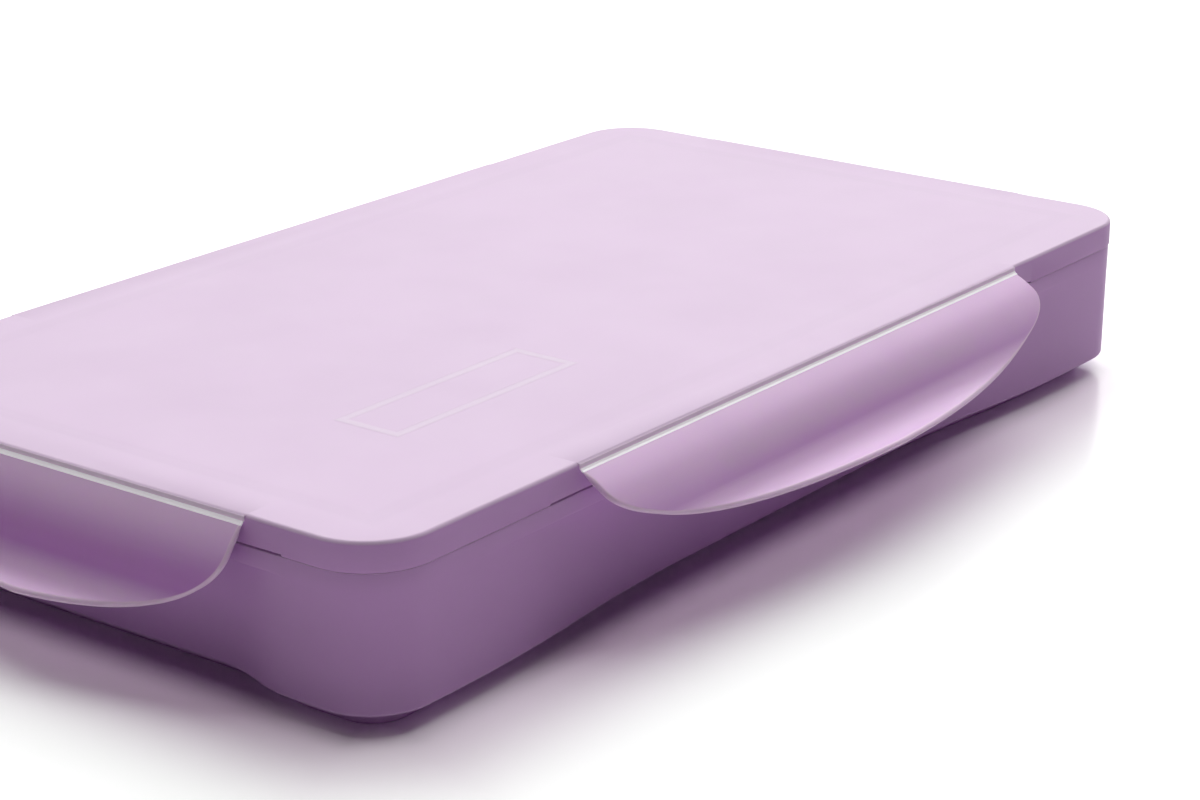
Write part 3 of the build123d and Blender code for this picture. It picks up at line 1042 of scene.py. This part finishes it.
def lid_plastic():
    finish = moulded("lilac_polypropylene_lid", deep_lilac, pale_lilac, (0.05, 0.6))
    x, y, z = finish.axes()
    inside = (box_length / 2 - x.size()).smaller(box_width / 2 - y.size())
    sink = inside.line_at(sink_inset, 5 * MM)
    (middle_x, middle_y), (length, width), rib = label_frame
    past_x, past_y = (x - middle_x).size() - length / 2, (y - middle_y).size() - width / 2
    frame_line = past_x.larger(past_y).line_at(0, 2 * rib)
    on_top = z.rising(box_height - 0.3 * MM, box_height - 0.1 * MM)
    # The raised frame is painted paler along its rib, a painted highlight where the rib catches the light.
    pale = finish.mixed(frame_line * on_top * 0.3, finish.colour, linear(246, 238, 247))
    # A painted glow: the steep facet at each hinge, outside the lid's outline, is painted almost white. It
    # stands in for light shining through the thin plastic there.
    past_outline = (0 - inside).rising(0.05 * MM, 0.25 * MM)
    flange = past_outline * z.rising(box_height - 1.8 * MM, box_height - 1.6 * MM)
    pale = finish.mixed(flange, pale, painted_facet_glow)
    # The sink line is also painted a little darker, painted shade in its shallow groove.
    finish.set("Base Color", finish.mixed(sink * on_top * 0.10, pale, darker(pale_lilac, 0.8)))
    finish.bump(finish.grain * 0.03 + frame_line * on_top - sink * on_top * 0.5, 0.15 * MM)
    return finish.material


for piece in (tray, lid, *latches.values()):
    note_facing(piece)
wear(tray, tray_plastic())
lilac = latch_plastic()
for latch in latches.values():
    wear(latch, lilac)
wear(lid, lid_plastic())
print("lilac plastic on", 2 + len(latches), "pieces")

# %% [markdown]
# ## The bent plastic
# Polypropylene turns white where it is bent for the first time. The white is uneven along the fold, in
# soft patches of noise, with a very fine grain in its surface.

# %% Whiten the hinge strips
def stressed_glowing_plastic():
    # The emission is a painted glow that stands in for light through the thin bent plastic; the white itself
    # is the plastic's own.
    finish = Finish("bent_polypropylene_white_with_painted_glow", IOR=1.49, Emission_Color=(0.95, 0.88, 0.97, 1),
                    Emission_Strength=0.2)
    patches = finish.cloud(90, 3)
    dull, bright = linear(244, 238, 244), linear(255, 252, 255)
    finish.set("Base Color", finish.mixed(patches.rising(0.25, 0.6), dull, bright))
    finish.set("Roughness", finish.cloud(500, 1) * 0.15 + 0.3)
    finish.bump(finish.cloud(3000, 1), 0.01 * MM)
    return finish.material


white_strip_with_glow = stressed_glowing_plastic()
for strip in hinge_strips.values():
    wear(strip, white_strip_with_glow)

# %% [markdown]
# ## The white insides
# The palette is glossy white sheet with faint waves from vacuum forming. The cups are thin and milky,
# and the rack under them is a plainer satin white. The rack's shape from the frame is right as it is,
# so it only gets this finish.

# %% Finish the palette, the cups and the rack
def white_plastic(name, colour, roughness, waves, clearness):
    finish = Finish(name, IOR=1.5, Subsurface_Weight=clearness, Subsurface_Scale=0.004, Coat_Weight=0.2,
                    Coat_Roughness=0.08)
    finish.set("Base Color", finish.mixed(finish.cloud(30, 2), colour, darker(colour, 0.97)))
    finish.set("Roughness", finish.cloud(45, 2) * 0.1 + roughness)
    finish.bump(finish.cloud(waves, 2), 0.05 * MM)
    return finish.material


wear(palette, white_plastic("white_palette_sheet", linear(247, 246, 244), 0.16, 40, 0.05))
milky = white_plastic("milky_cup_plastic", linear(244, 244, 246), 0.24, 120, 0.25)
for piece in cup_rows:
    wear(piece, milky)
wear(frame["nodes"]["cup_rack"], white_plastic("white_rack_plastic", linear(240, 240, 240), 0.4, 200, 0.05))

# %% [markdown]
# ## The gouache
# Gouache is opaque, and moist in its cup, so it is a strong flat colour under a thin wet coat. Pigment
# is never perfectly even, so the colour shifts a little in streaks drawn out along one direction, and
# each colour is read from the imported record.

# %% Mix the paints
paint_colours = {entry["slot"]: entry["base_color"] for entry in frame["record"]["materials"]}


def gouache(name):
    colour = (*paint_colours[name][:3], 1)
    finish = Finish(f"gouache_{name[-2:]}", IOR=1.45, Coat_Weight=0.45, Coat_Roughness=0.12)
    streaks = finish.cloud(130, 3, (1, 0.35, 1))
    paler = (*[channel + (1 - channel) * 0.10 for channel in colour[:3]], 1)
    body = finish.mixed(streaks.rising(0.35, 0.7), colour, paler)
    specks = finish.cloud(420, 2).rising(0.5, 0.8)
    finish.set("Base Color", finish.mixed(specks * 0.3, body, darker(colour, 0.85)))
    finish.set("Roughness", finish.cloud(200, 2) * 0.25 + 0.3)
    finish.bump(finish.cloud(600, 3), 0.12 * MM)
    return finish.material


for name, paint in paints.items():
    wear(paint, gouache(name))
print("gouache in", len(paints), "colours")

# %% [markdown]
# ## The floor, the light and the camera
# The box stands on glossy white acrylic. A large soft lamp hangs above and behind it, so the lid is
# bright, the near walls are in soft shade, and the shadow falls towards the camera. The floor glows a
# little where the camera sees it. Close to the box that glow is taken away, a painted shadow, and a
# little way out it is dimmer and lilac, painted light bounced from the walls.
# What the camera and the reflections see beyond the floor is plain white.

# %% Lay the floor
floor_size = 8


def lay_floor():
    bpy.ops.object.select_all(action="DESELECT")
    bpy.ops.mesh.primitive_plane_add(size=floor_size, location=(0, 0, -0.02 * MM))
    floor = bpy.context.object
    floor.name = "floor"
    finish = Finish("white_acrylic", Roughness=0.22, IOR=1.45, Emission_Strength=1)
    seen = finish.node("ShaderNodeLightPath", {}, {}, "Is Camera Ray")
    finish.set("Base Color", finish.mixed(seen, linear(244, 244, 244), linear(255, 255, 255)))
    x, y, _ = finish.axes()
    past_end, past_side = x.size() - box_length / 2, y.size() - box_width / 2
    past_corner = (past_end + past_side + (2 - sqrt(2)) * corner_radius) / sqrt(2)
    outset = past_end.larger(past_side).larger(past_corner)     # how far outside the lid's outline
    # Painted shadow and painted bounce light: the glow is taken away under and close to the box, and a little
    # way out it is dimmer and lilac before it reaches the plain glow of the open floor.
    glow_with_painted_tint = finish.mixed(outset.rising(8 * MM, 40 * MM), (0.2, 0.165, 0.19, 1), (0.36, 0.38, 0.355, 1))
    glow_with_painted_shadow = finish.mixed(outset.rising(-7 * MM, 7 * MM), (0, 0, 0, 1), glow_with_painted_tint)
    finish.set("Emission Color", finish.mixed(seen, (0, 0, 0, 1), glow_with_painted_shadow))
    wear(floor, finish.material)
    return floor


floor = lay_floor()

# %% Light the scene
world = bpy.data.worlds.new("studio")
bpy.context.scene.world = world
world.use_nodes = True
tree = world.node_tree
background = tree.nodes["Background"]
background.inputs["Color"].default_value = (1, 1, 1, 1)
rays = tree.nodes.new("ShaderNodeLightPath")
seen = tree.nodes.new("ShaderNodeMath")
seen.operation = "MAXIMUM"
tree.links.new(rays.outputs["Is Camera Ray"], seen.inputs[0])
tree.links.new(rays.outputs["Is Glossy Ray"], seen.inputs[1])
tree.links.new(seen.outputs[0], background.inputs["Strength"])


def soft_lamp(name, towards, spread, strength):
    """A lamp so far away that it lights the whole floor alike, and so wide that its shadows are soft."""
    lamp = bpy.data.lights.new(name, "SUN")
    lamp.angle, lamp.energy = radians(spread), strength
    holder = bpy.data.objects.new(name, lamp)
    bpy.context.collection.objects.link(holder)
    holder.rotation_euler = Vector(towards).to_track_quat("Z", "Y").to_euler()
    return holder


key_lamp = soft_lamp("key_lamp", (0.58, 0.37, 1), 75, 2.95)
print("lamps:", key_lamp.name)

# %% Place the camera
camera_data = bpy.data.cameras.new("camera")
camera_data.sensor_width = 36
camera_data.lens = 89.343
camera = bpy.data.objects.new("camera", camera_data)
bpy.context.collection.objects.link(camera)
azimuth, elevation = radians(-52.929), radians(18.967)
back = Vector((sin(azimuth) * cos(elevation), -cos(azimuth) * cos(elevation), sin(elevation)))
camera.location = (-0.571655, -0.455547, 0.264719)
camera.rotation_euler = back.to_track_quat("Z", "Y").to_euler()
bpy.context.scene.camera = camera
bpy.context.scene.view_settings.view_transform = "Standard"
